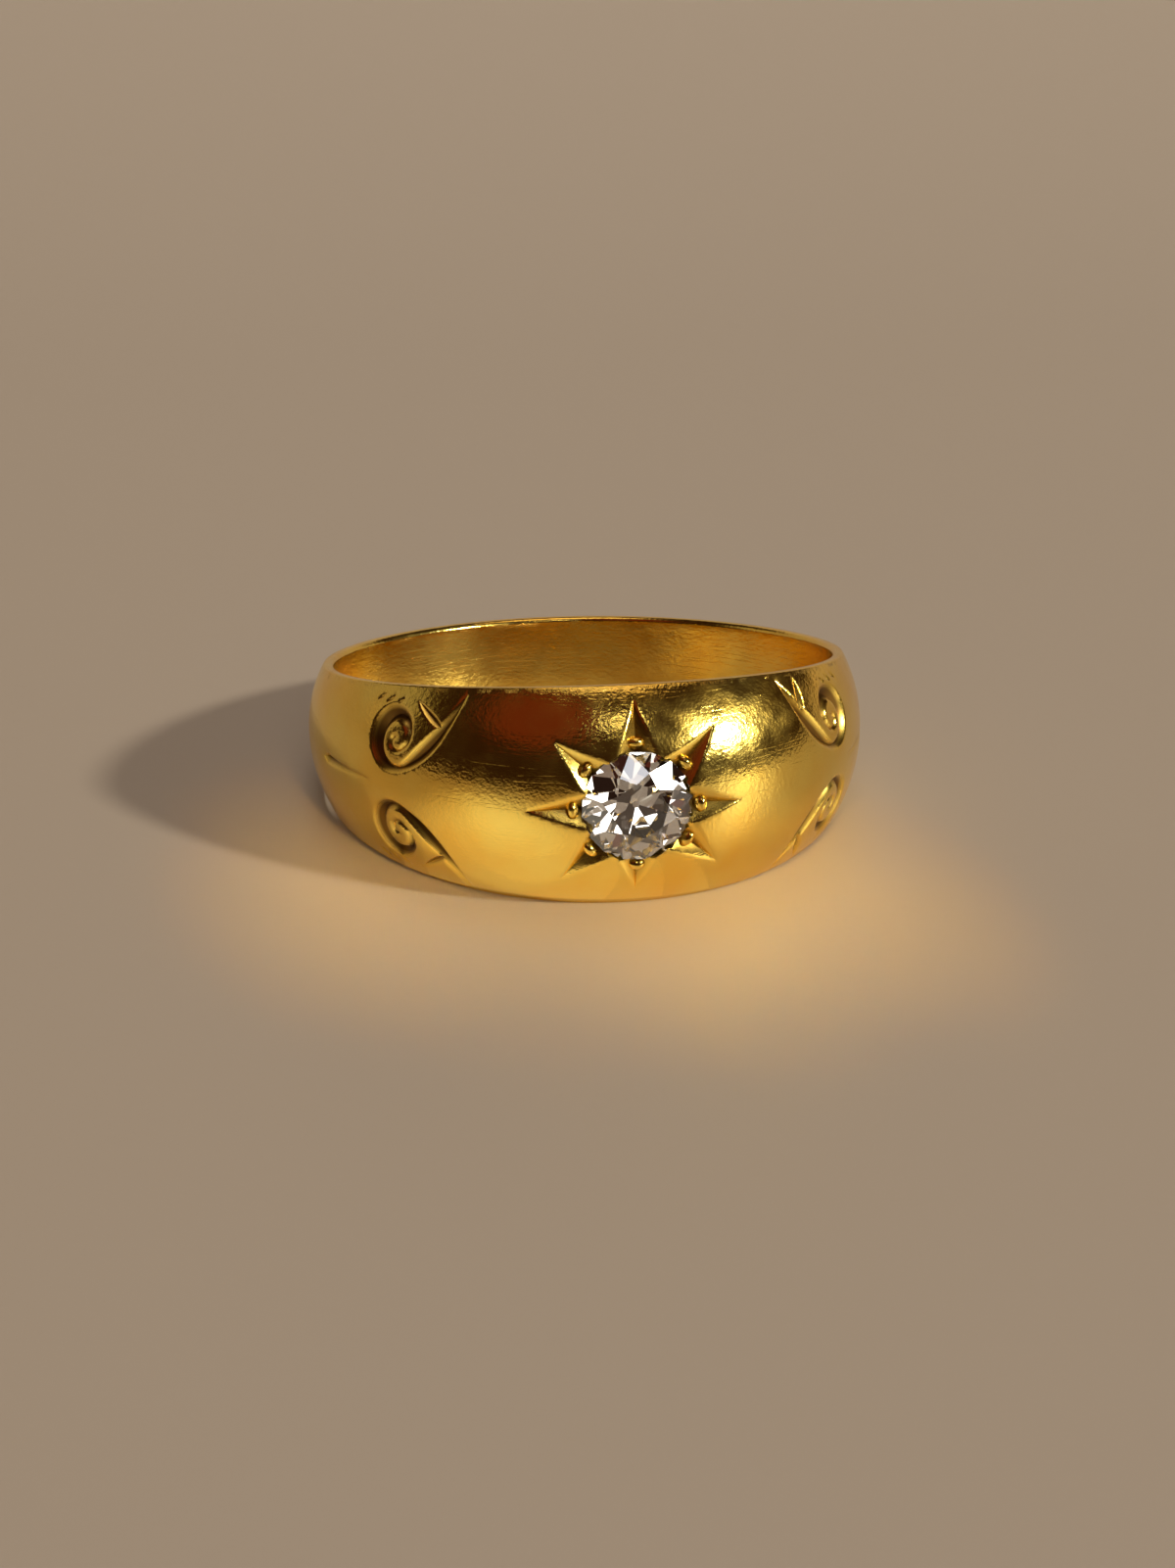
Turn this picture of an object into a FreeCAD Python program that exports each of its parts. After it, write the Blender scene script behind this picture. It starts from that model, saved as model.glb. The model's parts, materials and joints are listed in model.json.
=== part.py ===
import FreeCAD, Part
import math
import os
from FreeCAD import Vector

# A flush set "gypsy" ring: one tapered, domed band of yellow gold, with a
# round old cut stone let into its head inside an eight rayed star, and four
# engraved scrolls and two darts on its shoulders.
#
# Ring frame, in millimetres: Z runs along the finger, the head is at -Y.
# An angle round the band is counted from the head towards +X.

doc = FreeCAD.newDocument("gypsy_ring")
sheet = doc.addObject("Spreadsheet::Sheet", "sizes")

# Driving dimensions, in millimetres and degrees
DRIVING = [
    ("bore_radius", 9.10, "half the finger hole, a large man's size"),
    ("head_width", 7.52, "band width along the finger at the stone"),
    ("shank_width", 3.32, "band width at the back"),
    ("waist_tuck", 0.26, "how much each rim is hollowed between head and back"),
    ("head_thick", 2.00, "gold at the top of the dome, beside the stone"),
    ("shank_thick", 0.98, "gold at the back"),
    ("swell_power", 10.0, "how quickly the head swells out of the shank"),
    ("rim_edge", 0.37, "flat of the rim"),
    ("rim_round", 0.10, "worn outer corner of the rim"),
    ("bore_round", 0.12, "worn inner corner of the rim"),
    ("stone_dia", 3.70, "girdle of the stone"),
    ("girdle_level", 10.66, "girdle's upper edge, from the ring's axis"),
    ("girdle_thick", 0.06, "girdle of the stone"),
    ("crown_rise", 0.58, "girdle to table"),
    ("table_dia", 1.86, "table, corner to corner"),
    ("star_dia", 2.56, "circle through the outer tips of the star facets"),
    ("pavilion_drop", 1.40, "girdle to culet"),
    ("culet_dia", 0.24, "old cuts have an open culet"),
    ("stone_gap", 0.04, "air between stone and gold"),
    ("lip_cover", 0.05, "gold pushed over the girdle"),
    ("lip_rise", 0.07, "height of the lip's lower edge over the girdle"),
    ("back_hole_dia", 1.70, "drilled hole behind the stone"),
    ("ray_half", 0.52, "half width of a ray where it meets the stone"),
    ("ray_slope", 0.66, "depth of a ray over its half width"),
    ("grain_radius", 0.23, "bead raised at the foot of each ray"),
    ("grain_reach", 2.17, "stone's axis to a bead's axis"),
    ("grain_sink", 0.10, "bead's centre below the dome"),
    ("groove_slope", 0.72, "depth of an engraved groove over its half width"),
    ("dart_slope", 0.90, "depth of a dart over its half width"),
]
for row, (alias, value, note) in enumerate(DRIVING, start=1):
    sheet.set("A%d" % row, alias)
    sheet.set("B%d" % row, str(value))
    sheet.set("C%d" % row, note)
    sheet.setAlias("B%d" % row, alias)
doc.recompute()
size = {alias: float(sheet.get(alias)) for alias, value, note in DRIVING}

# The band's own shape, as formulas of the angle round it


def half_width(angle):
    """Half the width: a cosine from head to back, hollowed at the sides."""
    mean = (size["head_width"] + size["shank_width"]) / 4
    swing = (size["head_width"] - size["shank_width"]) / 4
    return mean + swing * math.cos(angle) - size["waist_tuck"] * math.sin(angle) ** 2


def thickness(angle):
    """Gold at mid width: thin all round, swelling to the head."""
    swell = math.cos(angle / 2) ** size["swell_power"]
    return size["shank_thick"] + (size["head_thick"] - size["shank_thick"]) * swell


def dome_arc(angle):
    """Centre distance from the axis, and radius, of the dome's arc at an angle."""
    rise = thickness(angle) - size["rim_edge"]
    half = half_width(angle)
    radius = (half ** 2 + rise ** 2) / (2 * rise)
    return size["bore_radius"] + thickness(angle) - radius, radius


def spot(angle, out, height):
    """A point at a distance out from the axis, at a height along it."""
    return Vector(out * math.sin(angle), -out * math.cos(angle), height)


def dome_point(angle, height, lift=0.0):
    """A point on the dome, or lifted off it along the arc's own normal."""
    centre, radius = dome_arc(angle)
    lean = math.asin(height / radius)
    out = centre + (radius + lift) * math.cos(lean)
    return spot(angle, out, (radius + lift) * math.sin(lean))


def band_section(angle, inside):
    """One D section: straight inside, two rim flats, rounded corners, a dome."""
    half = half_width(angle)
    centre, radius = dome_arc(angle)
    corner = size["rim_round"]
    reach = math.sqrt((radius - corner) ** 2 - (half - corner) ** 2)
    grow = radius / (radius - corner)
    lean = math.atan2(half - corner, reach)
    middle = (lean + math.pi / 2) / 2
    flat_end = (centre + reach, half)
    corner_mid = (centre + reach + corner * math.cos(middle), half - corner + corner * math.sin(middle))
    dome_end = (centre + reach * grow, (half - corner) * grow)

    def at(pair, side):
        return spot(angle, pair[0], side * pair[1])

    inner = (inside, half)
    top = spot(angle, centre + radius, 0)
    edges = [
        Part.makeLine(at(inner, -1), at(flat_end, -1)),
        Part.Arc(at(flat_end, -1), at(corner_mid, -1), at(dome_end, -1)).toShape(),
        Part.Arc(at(dome_end, -1), top, at(dome_end, 1)).toShape(),
        Part.Arc(at(dome_end, 1), at(corner_mid, 1), at(flat_end, 1)).toShape(),
        Part.makeLine(at(flat_end, 1), at(inner, 1)),
        Part.makeLine(at(inner, 1), at(inner, -1)),
    ]
    return Part.Wire(edges)


# A turn that points a tool's axis out through the head
FACE_OUT = FreeCAD.Rotation(Vector(1, 0, 0), 90)
GRAIN_POST = 0.8
BURNISH_SHARE = 0.85

# Band blank: a closed loft through D sections, bored to size afterwards
SECTION_COUNT = 24
BORE_STOCK = 0.5
inside = size["bore_radius"] - BORE_STOCK
turns = [math.pi + math.tau * i / SECTION_COUNT for i in range(SECTION_COUNT)]
blank = doc.addObject("Part::Feature", "band_blank")
blank.Shape = Part.makeLoft([band_section(turn, inside) for turn in turns], True, False, True)


def bind(item, **formulas):
    """Bind properties of a document object to the sheet."""
    for name, formula in formulas.items():
        item.setExpression(name.replace("__", "."), formula)
    return item


def cut(name, base, tool):
    """One boolean cut, which has to take something away."""
    result = doc.addObject("Part::Cut", name)
    result.Base = base
    result.Tool = tool
    doc.recompute()
    removed = base.Shape.Volume - result.Shape.Volume
    if removed < 1e-3:
        raise RuntimeError(name + " cut nothing")
    return result


def gather(name, shapes):
    """Several cutters that do not touch one another, kept as one tool."""
    tool = doc.addObject("Part::Feature", name)
    tool.Shape = Part.makeCompound(shapes)
    return tool


bore = doc.addObject("Part::Cylinder", "finger_bore")
bind(bore, Radius="sizes.bore_radius", Height="sizes.head_width * 2", Placement__Base__z="-sizes.head_width")
bored = cut("bored_band", blank, bore)


def on_bore_rim(edge):
    """Whether an edge is one of the long ones where the bore meets a rim."""
    outs = [math.hypot(point.x, point.y) for point in edge.discretize(5)]
    long_enough = edge.Length > size["bore_radius"]
    runs_round = abs(edge.BoundBox.ZLength - edge.Length) > 1
    return long_enough and runs_round and max(outs) - size["bore_radius"] < 1e-3


# The finger hole's edges are worn round
band = doc.addObject("Part::Fillet", "worn_bore_edges")
band.Base = bored
worn = [i for i, edge in enumerate(bored.Shape.Edges, start=1) if on_bore_rim(edge)]
band.Edges = [(i, size["bore_round"], size["bore_round"]) for i in worn]
doc.recompute()

# Engraving: every groove is a V cut with a floor line and two bright walls,
# lofted along its stations. A station is an angle, a height and half the
# width at the dome; the slope is the depth over that half width. A station
# below zero width lies over the dome, so the cut runs out before it.
CLEARANCE = 0.08


def groove(stations, slope):
    """The solid that one V cut takes out of the dome."""
    wires = []
    last = len(stations) - 1
    for i, (angle, height, half) in enumerate(stations):
        before = stations[max(i - 1, 0)]
        after = stations[min(i + 1, last)]
        centre, radius = dome_arc(angle)
        lean = math.asin(height / radius)
        out = centre + radius * math.cos(lean)
        along = (after[0] - before[0]) * out
        up = (after[1] - before[1]) / math.cos(lean)
        length = math.hypot(along, up)
        side = half + CLEARANCE / slope
        turn = -up / length * side / out
        climb = along / length * side * math.cos(lean)
        left = dome_point(angle + turn, height + climb, CLEARANCE)
        right = dome_point(angle - turn, height - climb, CLEARANCE)
        floor = dome_point(angle, height, -half * slope)
        wires.append(Part.makePolygon([left, floor, right, left]))
    return Part.makeLoft(wires, True, True)


# Scroll: a curl that opens out from its eye, then a leaf that sweeps up to
# the rim. The curl's turn is counted from the side that faces the stone.
CURL_ANGLE = 47.0
CURL_HEIGHT = 1.58
CURL_START = -25.0
CURL_END = 300.0
CURL_STEPS = 12
EYE_RADIUS = 0.40
CURL_RADIUS = 0.92
OPENING_TURN = 170.0
LEAF_BEND = 1.30
LEAF_STEPS = 6
LEAF_FULLNESS = 0.20
TIP_HALF = -0.012
LEAF_TIP = (32.4, 3.36)
PRONG_FOOT = (37.0, 2.28)
PRONG_HALF = 0.17
DEGREE_AT_DOME = math.radians(1) * (size["bore_radius"] + 1.36)


def curl_place(turn):
    """Where the curl's floor line is: distance from the stone's side, height."""
    opened = min(max((turn - CURL_START) / OPENING_TURN, 0), 1)
    radius = EYE_RADIUS + (CURL_RADIUS - EYE_RADIUS) * math.sin(opened * math.pi / 2)
    way = math.radians(turn)
    along = CURL_ANGLE * DEGREE_AT_DOME - radius * math.cos(way)
    return along, CURL_HEIGHT + radius * math.sin(way)


def curl_half(turn):
    """The curl's half width: narrow at the eye, broadest away from the stone."""
    return 0.10 + 0.28 * math.sin(math.radians(min(max(turn + 25, 0), 300)) * 0.5) ** 2


def scroll_stations():
    """Floor line of one scroll, from its eye to the tip of its leaf."""
    places = []
    for i in range(CURL_STEPS + 1):
        turn = CURL_START + (CURL_END - CURL_START) * i / CURL_STEPS
        along, height = curl_place(turn)
        places.append((along, height, curl_half(turn)))
    start_along, start_height, start_half = places[-1]
    way = math.radians(CURL_END)
    bend_along = start_along + LEAF_BEND * math.sin(way)
    bend_height = start_height + LEAF_BEND * math.cos(way)
    tip_along = LEAF_TIP[0] * DEGREE_AT_DOME
    for i in range(1, LEAF_STEPS + 1):
        f = i / LEAF_STEPS
        along = start_along * (1 - f) ** 2 + bend_along * 2 * f * (1 - f) + tip_along * f ** 2
        height = start_height * (1 - f) ** 2 + bend_height * 2 * f * (1 - f) + LEAF_TIP[1] * f ** 2
        half = start_half * (1 - f) + LEAF_FULLNESS * math.sin(math.pi * f) + TIP_HALF * f
        places.append((along, height, half))
    return [(math.radians(along / DEGREE_AT_DOME), height, half) for along, height, half in places]


# Each scroll's second leaf points its own way
SCROLLS = [
    {"side": -1, "flip": 1, "prong_angle": 43.6, "prong_height": 2.95},
    {"side": -1, "flip": -1, "prong_angle": 43.1, "prong_height": 2.85},
    {"side": 1, "flip": 1, "prong_angle": 37.4, "prong_height": 3.40},
    {"side": 1, "flip": -1, "prong_angle": 39.6, "prong_height": 3.25},
]
HATCH_ANGLES = (48.0, 50.8, 53.6)
HATCH_FOOT = 2.62
HATCH_HEAD = 2.92
HATCH_SLANT = 2.2
HATCH_HALF = 0.06
HATCH_SLOPE = 0.9
scroll_cuts = []
prong_cuts = []
hatch_cuts = []
for scroll in SCROLLS:
    side = scroll["side"]
    flip = scroll["flip"]
    main = [(side * angle, flip * height, half) for angle, height, half in scroll_stations()]
    scroll_cuts.append(groove(main, size["groove_slope"]))
    foot = (math.radians(PRONG_FOOT[0]), PRONG_FOOT[1])
    head = (math.radians(scroll["prong_angle"]), scroll["prong_height"])
    prong = []
    for f, fullness in ((0, 0.7), (0.35, 1.0), (0.75, 0.6), (1, -0.06)):
        angle = foot[0] + (head[0] - foot[0]) * f
        height = foot[1] + (head[1] - foot[1]) * f
        prong.append((side * angle, flip * height, PRONG_HALF * fullness))
    prong_cuts.append(groove(prong, size["groove_slope"]))
    for hatch in HATCH_ANGLES:
        stroke = []
        for f, fullness in ((0, -0.2), (0.5, 1.0), (1, -0.2)):
            angle = math.radians(hatch + HATCH_SLANT * (0.5 - f))
            height = HATCH_FOOT + (HATCH_HEAD - HATCH_FOOT) * f
            stroke.append((side * angle, flip * height, HATCH_HALF * fullness))
        hatch_cuts.append(groove(stroke, HATCH_SLOPE))

# Dart: a pointed cut on each side, its tip towards the scrolls and its blunt
# end rising to the surface in one short facet
DART = [
    {"angle": 53.6, "half": -0.01},
    {"angle": 62.0, "half": 0.13},
    {"angle": 70.6, "half": 0.21},
    {"angle": 73.2, "half": -0.04},
]
dart_cuts = []
for side in (-1, 1):
    dart = [(side * math.radians(place["angle"]), 0, place["half"]) for place in DART]
    dart_cuts.append(groove(dart, size["dart_slope"]))

band = cut("scrolled_band", band, gather("scroll_cutters", scroll_cuts))
band = cut("leafed_band", band, gather("second_leaf_cutters", prong_cuts))
band = cut("darted_band", band, gather("dart_cutters", dart_cuts))
band = cut("hatched_band", band, gather("hatch_cutters", hatch_cuts))

# Star: eight rays cut by hand, so each has its own bearing and reach, given
# on the dome round the stone. A bearing of 0 points to +X, 90 to the upper rim.
RAYS = [
    {"bearing": 90, "reach": 3.40},
    {"bearing": 41, "reach": 3.74},
    {"bearing": -1, "reach": 3.64},
    {"bearing": -37, "reach": 3.70},
    {"bearing": -89, "reach": 3.12},
    {"bearing": -136, "reach": 3.68},
    {"bearing": 181, "reach": 3.74},
    {"bearing": 142, "reach": 3.56},
]
dome_top = size["bore_radius"] + size["head_thick"]
RAY_START = 0.86
RAY_GROWTH = 1.12
RAY_RISE = 0.01


def star_place(bearing, distance):
    """Angle and height on the dome of a place round the stone."""
    way = math.radians(bearing)
    return distance * math.cos(way) / dome_top, distance * math.sin(way)


ray_cuts = []
for ray in RAYS:
    start = RAY_START * size["stone_dia"] / 2
    stations = []
    for f in (0, 0.35, 0.7, 1):
        angle, height = star_place(ray["bearing"], start + (ray["reach"] - start) * f)
        stations.append((angle, height, size["ray_half"] * RAY_GROWTH * (1 - f) - RAY_RISE * f))
    ray_cuts.append(groove(stations, size["ray_slope"]))
band = cut("rayed_band", band, gather("ray_cutters", ray_cuts))

# Grains: one bead at the foot of each ray, a post that rises out of the ray's
# floor with its top burnished round, so the beads are one metal with the band
grains = []
for number, ray in enumerate(RAYS, start=1):
    angle, height = star_place(ray["bearing"], size["grain_reach"])
    middle = dome_point(angle, height, -size["grain_sink"])
    foot = Vector(middle.x, middle.y + GRAIN_POST, middle.z)
    post = doc.addObject("Part::Cylinder", "grain_post_%d" % number)
    post.Placement = FreeCAD.Placement(foot, FACE_OUT)
    bind(post, Radius="sizes.grain_radius", Height="sizes.grain_radius + %g" % GRAIN_POST)
    doc.recompute()
    edges = enumerate(post.Shape.Edges, start=1)
    crown_edge = min(edges, key=lambda entry: entry[1].CenterOfMass.y)[0]
    bead = doc.addObject("Part::Fillet", "grain_bead_%d" % number)
    bead.Base = post
    burnish = size["grain_radius"] * BURNISH_SHARE
    bead.Edges = [(crown_edge, burnish, burnish)]
    grains.append(bead)
grained = doc.addObject("Part::MultiFuse", "grained_band")
grained.Shapes = [band] + grains
doc.recompute()

# Stone seat, turned about the stone's axis: a drilled hole from the bore, a
# cone under the pavilion, a pocket for the girdle and an opening whose lip
# is pushed over the girdle
half_stone = size["stone_dia"] / 2
pavilion_run = half_stone - size["culet_dia"] / 2
pavilion_slope = math.atan2(size["pavilion_drop"], pavilion_run)
seat_radius = half_stone + size["stone_gap"] / math.sin(pavilion_slope)
seat_drop = (seat_radius - size["back_hole_dia"] / 2) * math.tan(pavilion_slope)
girdle_foot = size["girdle_level"] - size["girdle_thick"]
LIP_FLARE = 0.10
SEAT_TOP = 1.0


def seat_tool(kind, name, level, **formulas):
    """One turned tool on the stone's axis, starting at a level from the ring's axis."""
    tool = doc.addObject(kind, name)
    tool.Placement = FreeCAD.Placement(Vector(0, -level, 0), FACE_OUT)
    return bind(tool, **formulas)


back_hole = seat_tool("Part::Cylinder", "back_hole", size["bore_radius"] / 2,
                      Radius="sizes.back_hole_dia / 2",
                      Height="sizes.girdle_level - sizes.bore_radius / 2")
cone = seat_tool("Part::Cone", "pavilion_seat", girdle_foot - seat_drop,
                 Radius1="sizes.back_hole_dia / 2")
cone.Radius2 = seat_radius
cone.Height = seat_drop
pocket = seat_tool("Part::Cylinder", "girdle_pocket", girdle_foot,
                   Height="sizes.girdle_thick + sizes.lip_rise")
pocket.Radius = seat_radius
lip = seat_tool("Part::Cone", "lip_opening", size["girdle_level"] + size["lip_rise"],
                Radius1="sizes.stone_dia / 2 - sizes.lip_cover",
                Radius2="sizes.stone_dia / 2 - sizes.lip_cover + %g" % LIP_FLARE)
lip.Height = SEAT_TOP
seat = doc.addObject("Part::MultiFuse", "stone_seat")
seat.Shapes = [back_hole, cone, pocket, lip]
doc.recompute()
band = cut("band", grained, seat)

# Stone: an old European cut of 74 flat facets. Places are bearing, radius and
# level over the girdle's upper edge; the mains lie in steps of 45 degrees and
# the star and lower girdle points halfway between them.
STEP = 45.0
STONE_TURN = 8.0
LOWER_REACH = 0.56
half_step = math.cos(math.radians(STEP / 2))
table_radius = size["table_dia"] / 2
star_radius = size["star_dia"] / 2
culet_radius = size["culet_dia"] / 2
crown_share = (star_radius * half_step - table_radius) / (half_stone - table_radius)
star_level = size["crown_rise"] * (1 - crown_share)
lower_radius = half_stone * LOWER_REACH
main_slope = size["pavilion_drop"] / (half_stone - culet_radius * half_step)
lower_level = -size["girdle_thick"] - (half_stone - lower_radius * half_step) * main_slope
culet_level = -size["girdle_thick"] - size["pavilion_drop"]


def corner(step, radius, level):
    """A corner of the stone, in its own frame with its axis along Z."""
    way = math.radians(STEP * step + STONE_TURN)
    return Vector(radius * math.cos(way), radius * math.sin(way), level)


def facet(*corners):
    """One flat facet."""
    return Part.Face(Part.makePolygon(list(corners) + [corners[0]]))


table = [corner(k, table_radius, size["crown_rise"]) for k in range(8)]
stars = [corner(k + 0.5, star_radius, star_level) for k in range(8)]
upper = [corner(k / 2, half_stone, 0) for k in range(16)]
under = [corner(k / 2, half_stone, -size["girdle_thick"]) for k in range(16)]
lowers = [corner(k + 0.5, lower_radius, lower_level) for k in range(8)]
culet = [corner(k + 0.5, culet_radius, culet_level) for k in range(8)]
facets = [facet(*table), facet(*culet)]
for k in range(8):
    after = (k + 1) % 8
    main = 2 * k
    halfway = main + 1
    following = (main + 2) % 16
    facets += [
        facet(table[k], table[after], stars[k]),
        facet(table[k], stars[k], upper[main], stars[k - 1]),
        facet(stars[k], upper[main], upper[halfway]),
        facet(stars[k], upper[halfway], upper[following]),
        facet(upper[main], upper[halfway], under[halfway], under[main]),
        facet(upper[halfway], upper[following], under[following], under[halfway]),
        facet(under[main], under[halfway], lowers[k]),
        facet(under[halfway], under[following], lowers[k]),
        facet(under[main], lowers[k], culet[k], culet[k - 1], lowers[k - 1]),
    ]
stone_solid = Part.makeSolid(Part.makeShell(facets))
if stone_solid.Volume < 0:
    stone_solid.reverse()
diamond = doc.addObject("Part::Feature", "diamond")
diamond.Shape = stone_solid

# Resting place: the ring lies on its side on the front and back of its lower
# rim, which tips its face up a little


def rim_corner(angle):
    """Centre of the rounded lower rim corner: distance from the axis, height."""
    centre, radius = dome_arc(angle)
    corner_height = half_width(angle) - size["rim_round"]
    return centre + math.sqrt((radius - size["rim_round"]) ** 2 - corner_height ** 2), -corner_height


front_out, front_height = rim_corner(0)
back_out, back_height = rim_corner(math.pi)
tilt = math.atan2(back_height - front_height, front_out + back_out)
lift = size["rim_round"] - (front_out * math.sin(tilt) + front_height * math.cos(tilt))
lean_back = FreeCAD.Rotation(Vector(1, 0, 0), -math.degrees(tilt))
stone_turned = FreeCAD.Placement(Vector(0, -size["girdle_level"], 0), FACE_OUT)
resting = FreeCAD.Placement(Vector(0, 0, lift), lean_back)


def resting_box(item, place):
    """The box of a piece in a place, without moving the piece itself."""
    shape = item.Shape.copy()
    shape.Placement = place
    return shape.optimalBoundingBox()


# The row's origin is under the middle of the ring's own box
boxes = [resting_box(band, resting), resting_box(diamond, resting.multiply(stone_turned))]
front = min(box.YMin for box in boxes)
back = max(box.YMax for box in boxes)
resting.Base.y = -(front + back) / 2
band.Placement = resting
diamond.Placement = resting.multiply(stone_turned)
doc.recompute()

# Check every object, then write the two pieces
for item in doc.Objects:
    if "Invalid" in item.State or "Error" in item.State:
        raise RuntimeError(item.Name + " has an error")
pieces = {"band": band, "diamond": diamond}
os.makedirs("parts", exist_ok=True)
for name, item in pieces.items():
    item.Label = name
    if item.Shape.isNull() or not item.Shape.isValid() or len(item.Shape.Solids) != 1:
        raise RuntimeError(name + " is not one valid solid")
    item.Shape.exportStep("parts/%s.step" % name)
    box = item.Shape.BoundBox
    print(name, "volume %.2f" % item.Shape.Volume, "faces", len(item.Shape.Faces), box)
print("tilt %.3f" % math.degrees(tilt), "lift %.3f" % lift, "shift %.3f" % resting.Base.y)
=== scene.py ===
import bmesh
import bpy
import json
import math
import numpy as np
from mathutils import Matrix, Vector
from mathutils.geometry import delaunay_2d_cdt


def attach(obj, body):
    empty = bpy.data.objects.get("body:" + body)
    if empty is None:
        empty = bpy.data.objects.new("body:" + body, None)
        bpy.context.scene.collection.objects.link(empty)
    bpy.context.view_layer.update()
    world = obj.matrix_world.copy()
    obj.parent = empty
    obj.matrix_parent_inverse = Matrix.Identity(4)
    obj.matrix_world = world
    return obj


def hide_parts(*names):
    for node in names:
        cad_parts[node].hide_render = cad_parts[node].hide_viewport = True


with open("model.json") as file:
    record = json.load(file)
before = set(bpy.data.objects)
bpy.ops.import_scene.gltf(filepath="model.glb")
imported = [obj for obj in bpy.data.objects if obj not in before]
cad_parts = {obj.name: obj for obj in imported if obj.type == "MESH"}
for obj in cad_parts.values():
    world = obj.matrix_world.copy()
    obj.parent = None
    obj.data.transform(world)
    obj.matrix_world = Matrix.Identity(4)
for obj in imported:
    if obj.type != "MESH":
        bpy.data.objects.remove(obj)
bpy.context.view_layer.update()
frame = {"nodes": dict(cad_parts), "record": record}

# The band's blank
# One hoop of deep yellow gold, forged tapered, filed to a dome outside and
# left straight inside. It swells to a broad head, and a life of wear has
# rounded every corner. Sizes are millimetres in the ring's own frame: Z along
# the finger, the head at -Y, and a turn counted from the head towards +X.
MM = 0.001
BORE_RADIUS = 9.10
HEAD_WIDTH = 7.52
SHANK_WIDTH = 3.32
WAIST_TUCK = 0.26
HEAD_GOLD = 2.00
SHANK_GOLD = 0.98
SWELL_POWER = 10.0
RIM_EDGE = 0.37
RIM_ROUND = 0.10
BORE_ROUND = 0.19

finger_bore = frame["record"]["mounts"][0]
axis_place = np.array(finger_bore["pos_m"])
lean_back = math.atan2(finger_bore["axis"][1], finger_bore["axis"][2])


def half_width(turn):
    """Half the band's width: a cosine from head to back, less a squared sine at the sides."""
    mean = (HEAD_WIDTH + SHANK_WIDTH) / 4
    swing = (HEAD_WIDTH - SHANK_WIDTH) / 4
    return mean + swing * np.cos(turn) - WAIST_TUCK * np.sin(turn) ** 2


def dome_arc(turn):
    """The D section's arc: thickness gives its top, half width and rim edge give its ends."""
    gold = SHANK_GOLD + (HEAD_GOLD - SHANK_GOLD) * np.cos(turn / 2) ** SWELL_POWER
    rise = gold - RIM_EDGE
    radius = (half_width(turn) ** 2 + rise ** 2) / (2 * rise)
    return BORE_RADIUS + gold - radius, radius


def dome_end(turn):
    """Where the arc meets the worn rim corner: its lean from mid width, and the corner's centre."""
    centre, radius = dome_arc(turn)
    height = half_width(turn) - RIM_ROUND
    reach = np.sqrt((radius - RIM_ROUND) ** 2 - height ** 2)
    return np.arctan2(height, reach), centre + reach, height


def stand(x, y, z):
    """The ring's own frame, in millimetres, to metres on the floor: leaned back and lifted."""
    cos, sin = math.cos(lean_back), math.sin(lean_back)
    return np.stack([x, y * cos + z * sin, z * cos - y * sin], -1) * MM + axis_place


def around(turn, out, height):
    """A place by its turn, its distance from the finger's axis and its height along it."""
    return stand(out * np.sin(turn), -out * np.cos(turn), height)


def dome(turn, lean, lift):
    """The dome's arc at a turn and an angle from mid width, lifted along its own normal."""
    centre, radius = dome_arc(turn)
    return centre + (radius + lift) * np.cos(lean), (radius + lift) * np.sin(lean)


# The outside is drawn flat before it is bent, like a paper pattern: across is
# the turn times this radius, up is the way along the section's arc.
ROLL = 10.3


def lay_flat(turn, height):
    """Turn and height as a place on the flat pattern."""
    radius = dome_arc(turn)[1]
    return np.stack([turn * ROLL, radius * np.arcsin(height / radius)], -1)


# Scrolls, leaves, hatching and darts on the shoulders
# Cut by hand with a graver into the gold: four scrolls that curl round an eye
# and run out in a leaf, a second leaf beside each, short hatching over them,
# and a dart at mid width on each side. Each cut is a V, its edges worn round.
CUT_SLOPE = 0.90
CURL_DEGREES = 47.0
CURL_HEIGHT = 1.58
INNER_START, CURL_START, CURL_END = -235.0, -25.0, 300.0
INNER_RADIUS = 0.14
EYE_RADIUS = 0.40
CURL_RADIUS = 0.92
OPENING_TURN = 170.0
CURL_THIN, CURL_FULL = 0.10, 0.28
LEAF_BEND = 1.30
LEAF_TIP = (32.4, 3.36)
LEAF_FULLNESS = 0.20
SECOND_FOOT = (37.0, 2.28)
SECOND_HALF = 0.17
DEGREE_ON_GOLD = math.radians(1) * (BORE_RADIUS + 1.36)


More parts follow.
